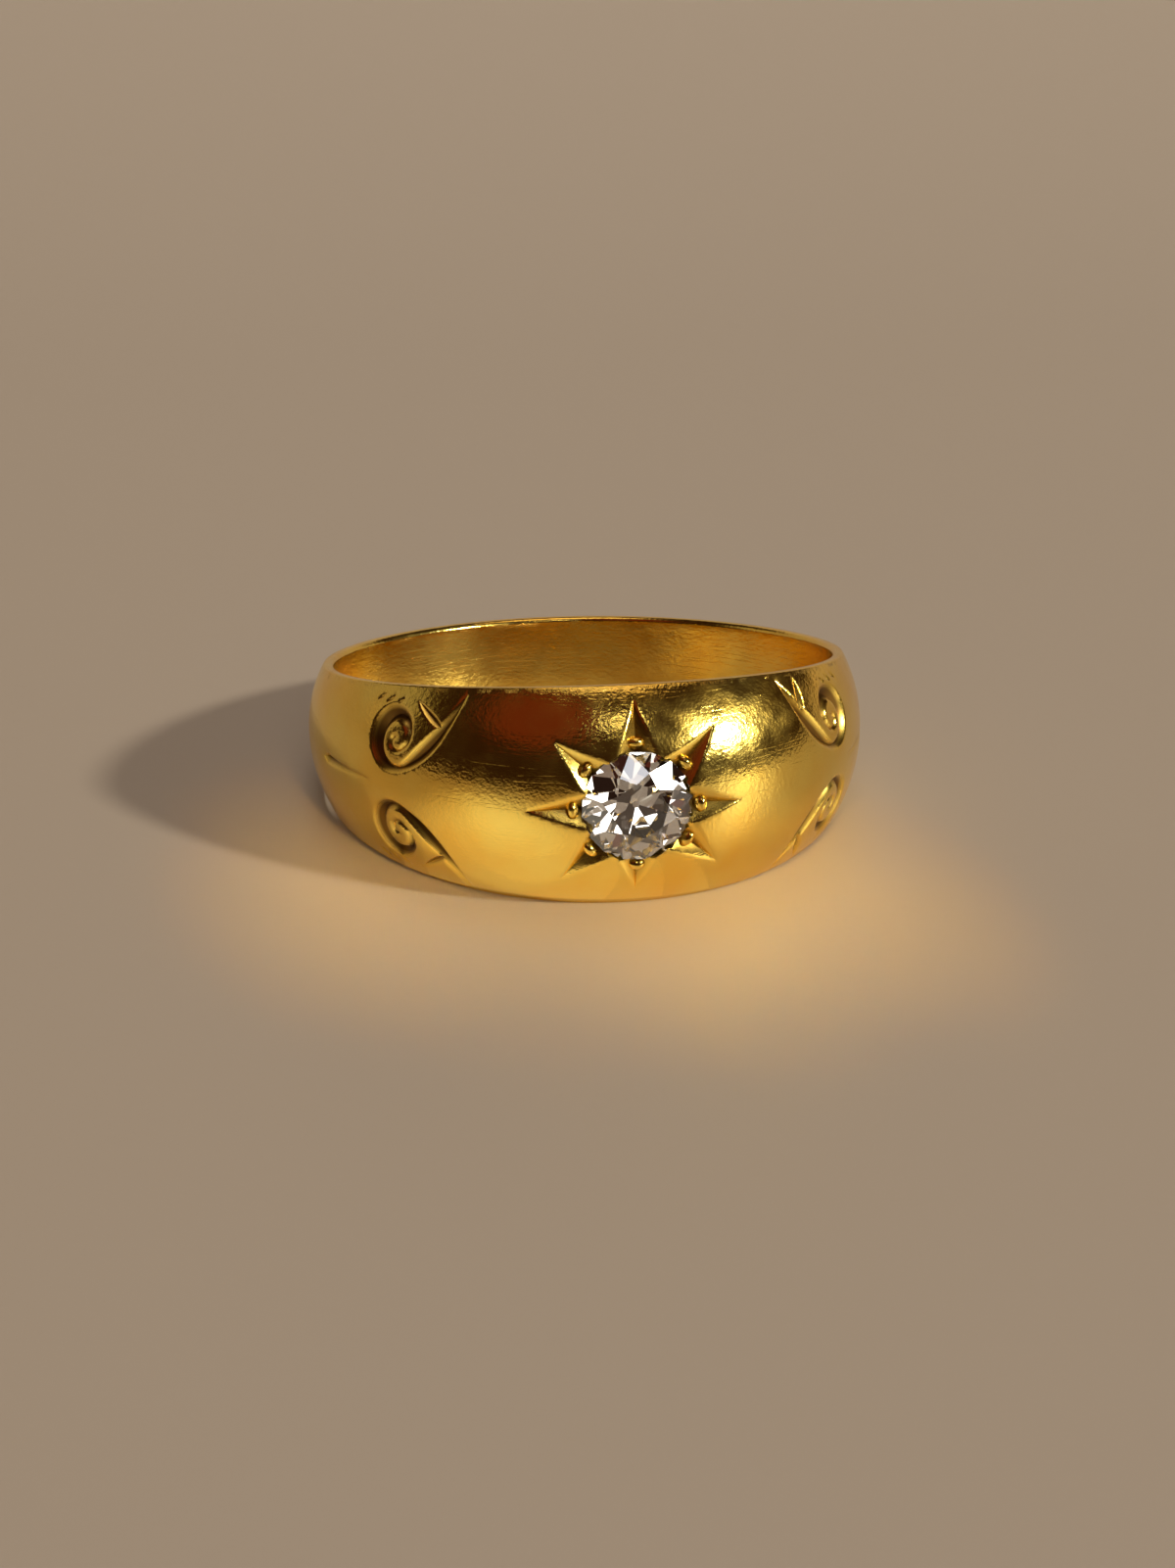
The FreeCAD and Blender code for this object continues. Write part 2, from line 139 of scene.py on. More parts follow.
def scroll(steps):
    """A curl whose radius grows evenly out of the eye, then opens as a sine, then a
    leaf on a quadratic curve to the rim. Gives degrees, height and half width."""
    turn = np.linspace(INNER_START, CURL_END, steps)
    opened = np.clip((turn - CURL_START) / OPENING_TURN, 0, 1)
    radius = np.interp(turn, (INNER_START, CURL_START), (INNER_RADIUS, EYE_RADIUS))
    radius += (CURL_RADIUS - EYE_RADIUS) * np.sin(opened * np.pi / 2)
    way = np.radians(turn)
    along = CURL_DEGREES * DEGREE_ON_GOLD - radius * np.cos(way)
    height = CURL_HEIGHT + radius * np.sin(way)
    swell = np.clip(way - math.radians(CURL_START), 0, way[-1]) / 2
    half = CURL_THIN + CURL_FULL * np.sin(swell) ** 2
    f = np.linspace(0, 1, steps // 2)[1:]
    bend_along = along[-1] + LEAF_BEND * math.sin(way[-1])
    bend_height = height[-1] + LEAF_BEND * math.cos(way[-1])
    tip = LEAF_TIP[0] * DEGREE_ON_GOLD
    leaf_along = along[-1] * (1 - f) ** 2 + bend_along * 2 * f * (1 - f) + tip * f ** 2
    leaf_height = height[-1] * (1 - f) ** 2 + bend_height * 2 * f * (1 - f) + LEAF_TIP[1] * f ** 2
    leaf_half = half[-1] * (1 - f) + LEAF_FULLNESS * np.sin(np.pi * f)
    degrees = np.concatenate([along, leaf_along]) / DEGREE_ON_GOLD
    return degrees, np.concatenate([height, leaf_height]), np.concatenate([half, leaf_half])


def stroke(start, end, fullness, half, steps):
    """A straight cut from start to end, whose half width follows the given fullness."""
    f = np.linspace(0, 1, steps)
    full = np.interp(f, np.linspace(0, 1, len(fullness)), fullness)
    return start[0] + (end[0] - start[0]) * f, start[1] + (end[1] - start[1]) * f, half * full


SCROLLS = [
    {"side": -1, "flip": 1, "second_tip": (43.6, 2.95)},
    {"side": -1, "flip": -1, "second_tip": (43.1, 2.85)},
    {"side": 1, "flip": 1, "second_tip": (38.0, 3.26)},
    {"side": 1, "flip": -1, "second_tip": (39.6, 3.22)},
]
SECOND_FULLNESS = (0.7, 1, 0.9, 0.6, 0)
HATCH_DEGREES = (48.0, 50.8, 53.6)
HATCH_FOOT, HATCH_HEAD, HATCH_SLANT = 2.62, 2.92, 1.1
HATCH_FULLNESS, HATCH_HALF = (0, 1, 0), 0.06
DART_SHAPE = ((53.8, 0.0), (62.0, 0.13), (70.6, 0.21), (72.8, 0.0))
DART_STEPS = 40
cuts = []
for one in SCROLLS:
    second = stroke(SECOND_FOOT, one["second_tip"], SECOND_FULLNESS, SECOND_HALF, steps=22)
    strokes = [scroll(steps=96), second]
    for degrees in HATCH_DEGREES:
        foot, head = (degrees + HATCH_SLANT, HATCH_FOOT), (degrees - HATCH_SLANT, HATCH_HEAD)
        strokes.append(stroke(foot, head, HATCH_FULLNESS, HATCH_HALF, steps=9))
    for degrees, height, half in strokes:
        line = lay_flat(one["side"] * np.radians(degrees), one["flip"] * height)
        cuts.append({"line": line, "half": half, "slope": CUT_SLOPE})
for side in (-1, 1):
    at, dart_half = np.array(DART_SHAPE).T
    degrees = np.linspace(at[0], at[-1], DART_STEPS)
    line = lay_flat(side * np.radians(degrees), 0 * degrees)
    cuts.append({"line": line, "half": np.interp(degrees, at, dart_half), "slope": CUT_SLOPE})

# Star and seat
# The stone sits in a turned seat in the top of the head. Eight rays are cut
# outwards from it by eye, each with its own bearing and reach, and the gold
# between them is rubbed over the stone's edge as a thin lip.
DOME_TOP = BORE_RADIUS + HEAD_GOLD
LIP_RADIUS = 1.80
LIP_THIN = 0.05
LIP_LEVEL = 10.73
SEAT_RADIUS = 1.914
GIRDLE_FOOT = 10.60
HOLE_RADIUS = 0.85
CONE_FOOT = 9.74
RAY_START = 1.60
RAY_HALF = 0.65
RAY_SLOPE = 0.85
RAY_STEPS = 26
RAYS = [
    {"bearing": 90, "reach": 3.40},
    {"bearing": 41, "reach": 3.74},
    {"bearing": -1, "reach": 3.64},
    {"bearing": -37, "reach": 3.70},
    {"bearing": -89, "reach": 3.12},
    {"bearing": -136, "reach": 3.68},
    {"bearing": 181, "reach": 3.74},
    {"bearing": 142, "reach": 3.56},
]
for ray in RAYS:
    bearing = math.radians(ray["bearing"])
    f = np.linspace(0, 1, RAY_STEPS)
    reach = RAY_START + (ray["reach"] - RAY_START) * f
    line = lay_flat(reach * math.cos(bearing) / DOME_TOP, reach * math.sin(bearing))
    cuts.append({"line": line, "half": RAY_HALF * (1 - f), "slope": RAY_SLOPE})

# Wear rounds both edges of a cut, but no more than its share of a thin one. A cut
# is looked for as far from its line as it can reach.
EDGE_WEAR = 0.034
WEAR_SHARE = 0.4
CUT_REACH = 0.9
FAR_OFF = 9.0


def left_of(points, cut):
    """The half width that a place has left inside a cut, below zero outside it."""
    start, run = cut["line"][:-1], np.diff(cut["line"], axis=0)
    way = points[:, None] - start
    share = np.clip((way * run).sum(-1) / np.maximum((run * run).sum(-1), 1e-12), 0, 1)
    gap = np.linalg.norm(way - share[..., None] * run, axis=-1)
    return (cut["half"][:-1] * (1 - share) + cut["half"][1:] * share - gap).max(1)


def engraved(flat):
    """How deep the gold is cut: a V's slope times the half width left, with its
    outer edge worn to half that slope. Also how many cuts a place is inside, and
    how far away the nearest edge of a cut is."""
    depth, inside = np.zeros(len(flat)), np.zeros(len(flat))
    nearest = np.full(len(flat), FAR_OFF)
    for cut in cuts:
        low, high = cut["line"].min(0) - CUT_REACH, cut["line"].max(0) + CUT_REACH
        near = np.flatnonzero(((flat > low) & (flat < high)).all(1))
        if len(near) == 0:
            continue
        left = left_of(flat[near], cut)
        worn = np.clip((left + EDGE_WEAR) / 2, 0, EDGE_WEAR)
        worn += np.clip(left - EDGE_WEAR, 0, None)
        depth[near] = np.maximum(depth[near], worn * cut["slope"])
        inside[near] += left > -EDGE_WEAR
        nearest[near] = np.minimum(nearest[near], np.abs(left))
    return depth, inside, nearest


def cut_rows(cut):
    """Five lines along a cut: worn outer edge, top of the wall, floor, and the other two."""
    line, half = cut["line"], cut["half"]
    step = np.gradient(line, axis=0)
    across = np.stack([-step[:, 1], step[:, 0]], -1) / np.linalg.norm(step, axis=1)[:, None]
    wear = np.minimum(EDGE_WEAR, half * WEAR_SHARE)
    offset = np.stack([-half - wear, wear - half, 0 * half, half - wear, half + wear], 0)
    return line + across * offset[..., None]


# The outside's skin
# Every engraved line, the stone's opening and the two rims are lines on the
# flat pattern, with a net of points between them, joined into triangles, so
# that each cut keeps its crisp edges and floor when the pattern is bent.
EDGE_SPAN = 3.4
ENGRAVED_DEGREES = 76.0
ENGRAVED_COLUMNS, BACK_COLUMNS = 240, 68
ROWS_ACROSS = 25
NET_STEP, NET_FOOT, NET_TOP = 0.10, 0.08, 0.04
BACK_STEP, SEAM_CLEAR = 0.28, 0.1
CROSSING_STEP, CROSSING_SPAN = 0.035, 3.2
CUT_CLEAR, OPENING_CLEAR, CROSSING_CLEAR = 0.05, 0.04, 0.008
STAR_REACH = 5
SAME_PLACE = 1e-5


def to_net(flat):
    """The flat pattern with its two curved edges pulled straight."""
    turn = flat[..., 0] / ROLL
    edge = dome_arc(turn)[1] * dome_end(turn)[0]
    return np.stack([flat[..., 0], flat[..., 1] / edge * EDGE_SPAN], -1)


def from_net(net):
    """The reverse: turn, lean from mid width, and the place on the flat pattern."""
    turn = net[:, 0] / ROLL
    lean = net[:, 1] / EDGE_SPAN * dome_end(turn)[0]
    return turn, lean, np.stack([net[:, 0], dome_arc(turn)[1] * lean], -1)


def join_lines(strands):
    """Strands of points as one list of points, with the joins along each strand."""
    ends = np.cumsum([len(s) for s in strands])
    joins = [np.stack([np.arange(e - len(s), e - 1), np.arange(e - len(s) + 1, e)], 1)
             for s, e in zip(strands, ends)]
    return np.vstack(strands), np.vstack(joins)


def triangles(strands, loose):
    """Joins strands and loose points of a flat pattern into triangles."""
    lined, joins = join_lines(strands)
    points = np.vstack([lined, loose])
    made = delaunay_2d_cdt(points.tolist(), joins.tolist(), [], 0, SAME_PLACE, False)
    return np.array([tuple(v) for v in made[0]]), np.array(made[2])


def inside_loop(points, loop):
    """Which points lie inside a closed loop, by counting the sides crossed to one side."""
    a, b = loop, np.roll(loop, -1, 0)
    over = (a[:, 1] > points[:, 1:2]) != (b[:, 1] > points[:, 1:2])
    rise = np.where(b[:, 1] == a[:, 1], 1, b[:, 1] - a[:, 1])
    cross = a[:, 0] + (points[:, 1:2] - a[:, 1]) * (b[:, 0] - a[:, 0]) / rise
    return ((over & (cross > points[:, :1])).sum(1) % 2).astype(bool)


def rim_vertices(faces):
    """The vertices along the open edges of a skin."""
    sides = np.sort(np.vstack([faces[:, [0, 1]], faces[:, [1, 2]], faces[:, [2, 0]]]), 1)
    sides, times = np.unique(sides, axis=0, return_counts=True)
    return np.unique(sides[times == 1])


def on_star(bearing, radius):
    """Turn and height of a place on the dome, at a radius round the stone's axis."""
    x, height = radius * np.cos(bearing), radius * np.sin(bearing)
    turn = x / DOME_TOP
    for _ in range(5):
        centre, arc = dome_arc(turn)
        turn = np.arcsin(x / (centre + np.sqrt(arc ** 2 - height ** 2)))
    return turn, height


def level_of(turn, height, lift):
    """How far out from the finger's axis a place is, measured along the stone's axis."""
    centre, radius = dome_arc(turn)
    lean = np.arcsin(height / radius)
    return (centre + (radius + lift) * np.cos(lean)) * np.cos(turn)


# The opening: at the lip's radius where the lip stands, out to the seat's wall
# where a ray cuts the lip away, and in to the seat's cone where a ray is deeper.
OPENING_STEP = 1.2
bearing = np.radians(np.arange(0, 360, OPENING_STEP))
turn, height = on_star(bearing, SEAT_RADIUS)
depth = engraved(lay_flat(turn, height))[0]
level = level_of(turn, height, -depth)
radius = np.interp(level, (LIP_LEVEL, LIP_LEVEL + LIP_THIN), (SEAT_RADIUS, LIP_RADIUS))
radius -= np.clip(GIRDLE_FOOT - level, 0, None)
turn, height = on_star(bearing, radius)
opening = to_net(lay_flat(turn, height))

# The lines that the skin keeps: five along each cut, the opening, and the net's
# own outline, which is the two rims and the seam at the back.
turns = np.concatenate([
    np.linspace(-180, -ENGRAVED_DEGREES, BACK_COLUMNS),
    np.linspace(-ENGRAVED_DEGREES, ENGRAVED_DEGREES, ENGRAVED_COLUMNS)[1:-1],
    np.linspace(ENGRAVED_DEGREES, 180, BACK_COLUMNS),
]) * np.pi / 180
widths = np.linspace(-EDGE_SPAN, EDGE_SPAN, ROWS_ACROSS)
outline = [np.stack([turns * ROLL, 0 * turns + y], -1) for y in (-EDGE_SPAN, EDGE_SPAN)]
outline += [np.stack([0 * widths + x, widths], -1) for x in (turns[0] * ROLL, turns[-1] * ROLL)]
strands = [to_net(row) for cut in cuts for row in cut_rows(cut)]
strands += [np.vstack([opening, opening[:1]]), *outline]


def woven(columns, rows, shift=0):
    """Points where columns and rows cross, with every other row shifted along."""
    made = np.stack(np.meshgrid(columns, rows), -1)
    made[::2, :, 0] += shift
    return made.reshape(-1, 2)


# The loose points between the lines: fine on the engraved part, coarse on the
# plain back, and tiny where two cuts of a shoulder cross, off every line.
reach = math.radians(ENGRAVED_DEGREES) * ROLL
fine = woven(np.arange(-reach, reach, NET_STEP),
             np.arange(-EDGE_SPAN + NET_FOOT, EDGE_SPAN - NET_TOP, NET_STEP), NET_STEP / 2)
coarse = woven(np.arange(reach + BACK_STEP, np.pi * ROLL - SEAM_CLEAR, BACK_STEP),
               widths[1:-1], -BACK_STEP / 2)
tiny = woven(np.arange(-reach, reach, CROSSING_STEP),
             np.arange(-CROSSING_SPAN, CROSSING_SPAN, CROSSING_STEP))
_, inside, nearest = engraved(from_net(fine)[2])
fine = fine[(inside == 0) & (nearest > CUT_CLEAR)]
close = np.linalg.norm(fine[:, None] - opening, axis=-1).min(1)
fine = fine[(close > OPENING_CLEAR) & ~inside_loop(fine, opening)]
tiny = tiny[np.abs(tiny[:, 0]) > STAR_REACH]
_, inside, nearest = engraved(from_net(tiny)[2])
tiny = tiny[(inside > 1) & (nearest > CROSSING_CLEAR)]
net, faces = triangles(strands, np.vstack([fine, coarse, coarse * [-1, 1], tiny]))
faces = faces[~inside_loop(net[faces].mean(1), opening)]
turn, lean, flat = from_net(net)
depth = engraved(flat)[0]
out, height = dome(turn, lean, -depth)

# Each part of the band holds its points, its faces, the depth of cut that the painted
# shade and dirt in the cuts follow, and its places on the wrapped pattern that the
# scratches follow. The star is bright-cut, and gets less painted shade and dirt than the scrolls.
STAR_SHADE_AND_DIRT = 0.42
dirt_and_shade_depth = np.where(np.abs(flat[:, 0]) < STAR_REACH, STAR_SHADE_AND_DIRT, 1) * depth
parts = [(around(turn, out, height), faces, dirt_and_shade_depth, flat)]

# The seat's wall, from the opening down: under the lip to the stone's pocket,
# along the cone that the pavilion clears, and through the drilled hole.
HOLE_CHAMFER = 0.04
CONE_ROWS = 8
# The seat's wall gets an even share of painted shade and dirt.
SEAT_SHADE_AND_DIRT = 0.1
OPENING_REACH, RIM_CLEAR = 3.0, 0.5
rims = rim_vertices(faces)
rims = rims[(np.abs(net[rims]) < (OPENING_REACH, EDGE_SPAN - RIM_CLEAR)).all(1)]
x, level, height = out[rims] * np.sin(turn[rims]), out[rims] * np.cos(turn[rims]), height[rims]
order = np.argsort(np.arctan2(height, x))
bearing = np.arctan2(height, x)[order]
radius, level = np.hypot(x, height)[order], level[order]
wall = np.where(level > GIRDLE_FOOT, SEAT_RADIUS, radius)
foot = np.sqrt(BORE_RADIUS ** 2 - (HOLE_RADIUS * np.cos(bearing)) ** 2)
flare = HOLE_RADIUS + HOLE_CHAMFER
flare_foot = np.sqrt(BORE_RADIUS ** 2 - (flare * np.cos(bearing)) ** 2)
lip_foot, girdle_foot = np.minimum(level, LIP_LEVEL), np.minimum(level, GIRDLE_FOOT)
rows = [(radius, level), (radius, lip_foot), (wall, lip_foot), (wall, girdle_foot)]
for f in np.linspace(0, 1, CONE_ROWS)[1:]:
    rows.append((wall + (HOLE_RADIUS - wall) * f, girdle_foot * (1 - f) + CONE_FOOT * f))
rows += [(0 * wall + HOLE_RADIUS, foot + HOLE_CHAMFER), (0 * wall + flare, flare_foot)]
radius, level = np.array(rows).swapaxes(0, 1)


def grid_faces(rows, columns, closed=False):
    """Square faces between neighbouring rows and columns, the last column joined to the first."""
    number = np.arange(rows * columns).reshape(rows, columns)
    if closed:
        number = np.hstack([number, number[:, :1]])
    square = number[:-1, :-1], number[:-1, 1:], number[1:, 1:], number[1:, :-1]
    return np.stack(square, -1).reshape(-1, 4)


seat = stand(radius * np.cos(bearing), -level, radius * np.sin(bearing)).reshape(-1, 3)
parts.append((seat, grid_faces(*radius.shape, closed=True), np.full(len(seat), SEAT_SHADE_AND_DIRT),
              seat[:, ::2] / MM))

# The inside of the hoop, straight along the finger, with the drilled hole. Its
# places on the wrapped pattern lie clear of the outside's, as do the rims'.
BORE_STEP = 1.5
HOLE_CLEAR = 0.12
BORE_WRAP, RIM_WRAP = 20, 40
hole_turn = np.arctan2(flare * np.cos(bearing), flare_foot)
hole_up = flare * np.sin(bearing) / (half_width(hole_turn) - BORE_ROUND) * EDGE_SPAN
hole = np.stack([hole_turn * ROLL, hole_up], 1)
loose = woven(np.arange(-180, 180, BORE_STEP)[1:] * np.pi / 180 * ROLL, widths[1:-1])
close = np.linalg.norm(loose[:, None] - hole, axis=-1).min(1)
loose = loose[(close > HOLE_CLEAR) & ~inside_loop(loose, hole)]
net, faces = triangles([np.vstack([hole, hole[:1]]), *outline], loose)
faces = faces[~inside_loop(net[faces].mean(1), hole)]
turn = net[:, 0] / ROLL
bore = around(turn, BORE_RADIUS, net[:, 1] / EDGE_SPAN * (half_width(turn) - BORE_ROUND))
parts.append((bore, faces[:, ::-1], np.zeros(len(bore)), net + [0, BORE_WRAP]))

# The two rims: the worn outer corner, the flat side and the eased inner corner.
CORNER_ROWS, EASED_ROWS = 6, 7
lean, corner_out, corner_height = dome_end(turns)
corner = lean + (np.pi / 2 - lean) * np.linspace(0, 1, CORNER_ROWS)[:, None]
eased = np.linspace(np.pi / 2, np.pi, EASED_ROWS)[:, None]
outs = np.vstack([corner_out + RIM_ROUND * np.cos(corner),
                  BORE_RADIUS + BORE_ROUND * (1 + np.cos(eased)) + 0 * turns])
heights = np.vstack([corner_height + RIM_ROUND * np.sin(corner),
                     half_width(turns) - BORE_ROUND * (1 - np.sin(eased))])
along = np.stack([turns * ROLL + 0 * outs, RIM_WRAP + outs], -1).reshape(-1, 2)
for flip in (-1, 1):
    rim = around(turns, outs, flip * heights).reshape(-1, 3)
    parts.append((rim, grid_faces(*outs.shape)[:, ::-flip], np.zeros(len(rim)), along))

# Grains, one at the foot of each ray: a saddle of the band's own gold, raised
# out of the ray's floor with a graver, pushed to the stone and rounded over.
GRAIN_REACH = 2.18
GRAIN_LONG, GRAIN_WIDE = 0.24, 0.37
GRAIN_HEIGHT = 0.40
GRAIN_SINK = 0.44
GRAIN_COLUMNS, GRAIN_ROWS = 24, 13
bearings = np.radians([ray["bearing"] for ray in RAYS])
grain_turns, grain_heights = on_star(bearings, GRAIN_REACH)
centres, arcs = dome_arc(grain_turns)
leans = np.arcsin(grain_heights / arcs)
around_bead, up_bead = np.meshgrid(np.linspace(0, 2 * np.pi, GRAIN_COLUMNS + 1)[:-1],
                                   np.linspace(0, np.pi, GRAIN_ROWS))
long = GRAIN_LONG * np.sin(up_bead) * np.cos(around_bead)
wide = GRAIN_WIDE * np.sin(up_bead) * np.sin(around_bead)
lift = GRAIN_HEIGHT * np.cos(up_bead) - GRAIN_SINK
for bearing, turn, centre, arc, lean in zip(bearings, grain_turns, centres, arcs, leans):
    side = long * math.cos(bearing) - wide * math.sin(bearing)
    above = long * math.sin(bearing) + wide * math.cos(bearing)
    outs = centre + (arc + lift) * math.cos(lean) - above * math.sin(lean)
    heights = (arc + lift) * math.sin(lean) + above * math.cos(lean)
    x = outs * math.sin(turn) + side * math.cos(turn)
    y = -outs * math.cos(turn) + side * math.sin(turn)
    bead = stand(x, y, heights).reshape(-1, 3)
    parts.append((bead, grid_faces(*up_bead.shape, closed=True), np.zeros(len(bead)),
                  bead[:, ::2] / MM))

# All parts become one piece of metal. Points that meet are merged, and only the
# edges that the graver left sharper than SHARP_DEGREES stay sharp.
MERGE_GAP, SLIVER = 0.0012, 0.0002
SHARP_DEGREES = 40
points, faces, depths, wraps = zip(*parts)
starts = np.cumsum([0] + [len(some) for some in points[:-1]])
corners = [face for some, start in zip(faces, starts) for face in (some + start).tolist()]
mesh = bpy.data.meshes.new("gold_band")
mesh.from_pydata(np.vstack(points).tolist(), [], corners)
cut_depth = mesh.attributes.new("cut_depth", "FLOAT", "POINT")
cut_depth.data.foreach_set("value", np.concatenate(depths))
wrap = mesh.attributes.new("wrap", "FLOAT_VECTOR", "POINT")
wrapped = np.vstack(wraps)
wrap.data.foreach_set("vector", np.hstack([wrapped, 0 * wrapped[:, :1]]).ravel())
work = bmesh.new()
work.from_mesh(mesh)
bmesh.ops.remove_doubles(work, verts=work.verts, dist=MERGE_GAP * MM)
bmesh.ops.dissolve_degenerate(work, edges=work.edges, dist=SLIVER * MM)
bmesh.ops.recalc_face_normals(work, faces=work.faces)
work.to_mesh(mesh)
work.free()
mesh.shade_smooth()
mesh.set_sharp_from_angle(angle=math.radians(SHARP_DEGREES))
band = bpy.data.objects.new("gold_band", mesh)
bpy.context.scene.collection.objects.link(band)
weighted = band.modifiers.new("facing", "WEIGHTED_NORMAL")
weighted.keep_sharp = True
weighted.weight = 100

# Deep yellow gold after a century of wear: its tone drifts a little, its polish
# is peened all over by small knocks, and fine scratches cross it. The grain of
# each pattern and the depth of each layer of relief are in millimetres.
gold = bpy.data.materials.new("worn_gold")
gold.use_nodes = True
nodes, links = gold.node_tree.nodes, gold.node_tree.links
shader = nodes["Principled BSDF"]
shader.inputs["Metallic"].default_value = 1.0
places = nodes.new("ShaderNodeTexCoord")


def pattern(kind, grain, detail):
    """A noise or cell pattern with the given grain and number of finer layers."""
    made = nodes.new(kind)
    made.inputs["Scale"].default_value = 1 / (grain * MM)
    made.inputs["Detail"].default_value = detail
    links.new(places.outputs["Object"], made.inputs["Vector"])
    return made


def between(value, low, high, to_low, to_high):
    """A value's range from low to high, turned into the range from to_low to to_high."""
    made = nodes.new("ShaderNodeMapRange")
    made.inputs["From Min"].default_value = low
    made.inputs["From Max"].default_value = high
    made.inputs["To Min"].default_value = to_low
    made.inputs["To Max"].default_value = to_high
    links.new(value, made.inputs["Value"])
    return made.outputs["Result"]


depth_of_cut = nodes.new("ShaderNodeAttribute")
depth_of_cut.attribute_name = "cut_depth"
worn = between(depth_of_cut.outputs["Fac"], 0.01, 0.06, 1.0, 0.2)


def relief(height, depth, under=None):
    """A height pattern as relief of the given depth, over what lies under it. It
    fades inside the cuts, which wear doesn't reach."""
    made = nodes.new("ShaderNodeBump")
    links.new(worn, made.inputs["Strength"])
    made.inputs["Distance"].default_value = depth * MM
    links.new(height, made.inputs["Height"])
    if under is not None:
        links.new(under, made.inputs["Normal"])
    return made.outputs["Normal"]


wrapped_on = nodes.new("ShaderNodeAttribute")
wrapped_on.attribute_name = "wrap"


def reckon(operation, *values):
    """A sum of one or two values, each a plain number or another node's output."""
    made = nodes.new("ShaderNodeMath")
    made.operation = operation
    for socket, value in zip(made.inputs, values):
        if isinstance(value, float):
            socket.default_value = value
        else:
            links.new(value, socket)
    return made.outputs["Value"]


def scratches(spacing, turned, length, seed):
    """Fine straight scratches on the wrapped surface: the thin band where a noise,
    drawn out along one way, crosses its middle value, kept only in patches."""
    mapping = nodes.new("ShaderNodeMapping")
    mapping.inputs["Location"].default_value = (seed, seed, seed)
    mapping.inputs["Rotation"].default_value = (0, 0, math.radians(turned))
    mapping.inputs["Scale"].default_value = (1 / length, 1 / spacing, 1)
    links.new(wrapped_on.outputs["Vector"], mapping.inputs["Vector"])
    waves = nodes.new("ShaderNodeTexNoise")
    waves.inputs["Scale"].default_value = 1.0
    waves.inputs["Detail"].default_value = 1.0
    links.new(mapping.outputs["Vector"], waves.inputs["Vector"])
    off_middle = reckon("ABSOLUTE", reckon("SUBTRACT", waves.outputs["Fac"], 0.5))
    patches = pattern("ShaderNodeTexNoise", 0.9 + 0.1 * seed, 1.0)
    return reckon("MULTIPLY", between(off_middle, 0.0, 0.016, 1.0, 0.0),
                  between(patches.outputs["Fac"], 0.50, 0.58, 0.0, 1.0))


tone = nodes.new("ShaderNodeMix")
tone.data_type = "RGBA"
tone.inputs["A"].default_value = (1.0, 0.73, 0.155, 1)
tone.inputs["B"].default_value = (1.0, 0.63, 0.10, 1)
drift = pattern("ShaderNodeTexNoise", 2.6, 3.0)
links.new(between(drift.outputs["Fac"], 0.35, 0.65, 0, 1), tone.inputs["Factor"])
# Painted shade, with some old dust, darkens the bottoms of the cuts, and the dust dulls them.
shade_and_grime = nodes.new("ShaderNodeMix")
shade_and_grime.data_type = "RGBA"
shade_and_grime.inputs["B"].default_value = (0.10, 0.034, 0.009, 1)
shade_and_dirt = between(depth_of_cut.outputs["Fac"], 0.03, 0.17, 0, 0.9)
links.new(shade_and_dirt, shade_and_grime.inputs["Factor"])
links.new(tone.outputs["Result"], shade_and_grime.inputs["A"])
links.new(shade_and_grime.outputs["Result"], shader.inputs["Base Color"])
polish = pattern("ShaderNodeTexNoise", 0.8, 3.0)
dulled = nodes.new("ShaderNodeMix")
dulled.inputs["B"].default_value = 0.42
links.new(shade_and_dirt, dulled.inputs["Factor"])
links.new(between(polish.outputs["Fac"], 0.3, 0.7, 0.13, 0.24), dulled.inputs["A"])
links.new(dulled.outputs["Result"], shader.inputs["Roughness"])
# Shallow dents, then the peening of small knocks, then a fine grain, and last
# three sets of scratches that run different ways.
DENTS, PEENING, FINE_GRAIN, SCRATCH = 0.020, 0.0045, 0.004, -0.0018
surface = relief(pattern("ShaderNodeTexNoise", 1.3, 1.0).outputs["Fac"], DENTS)
knocks = pattern("ShaderNodeTexVoronoi", 0.16, 2.0)
surface = relief(knocks.outputs["Distance"], PEENING, surface)
surface = relief(pattern("ShaderNodeTexNoise", 0.09, 1.0).outputs["Fac"], FINE_GRAIN, surface)
for spacing, turned, length, seed in ((0.55, 35, 14, 1), (0.60, -50, 16, 2), (0.70, 4, 18, 3)):
    surface = relief(scratches(spacing, turned, length, seed), SCRATCH, surface)
links.new(surface, shader.inputs["Normal"])
band.data.materials.append(gold)
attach(band, "root")
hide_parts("band")

# The stone
# One round diamond of the old European cut, with a small table, high crown and
# open culet. It is held by the gold lip alone, and its facets are flat.
stone = frame["nodes"]["diamond"]
clear = bpy.data.materials.new("old_cut_diamond")
clear.use_nodes = True
shader = clear.node_tree.nodes["Principled BSDF"]
shader.inputs["Base Color"].default_value = (1.0, 0.99, 0.97, 1)
shader.inputs["Roughness"].default_value = 0.0
shader.inputs["IOR"].default_value = 2.417
shader.inputs["Transmission Weight"].default_value = 1.0
stone.data.materials.clear()
stone.data.materials.append(clear)

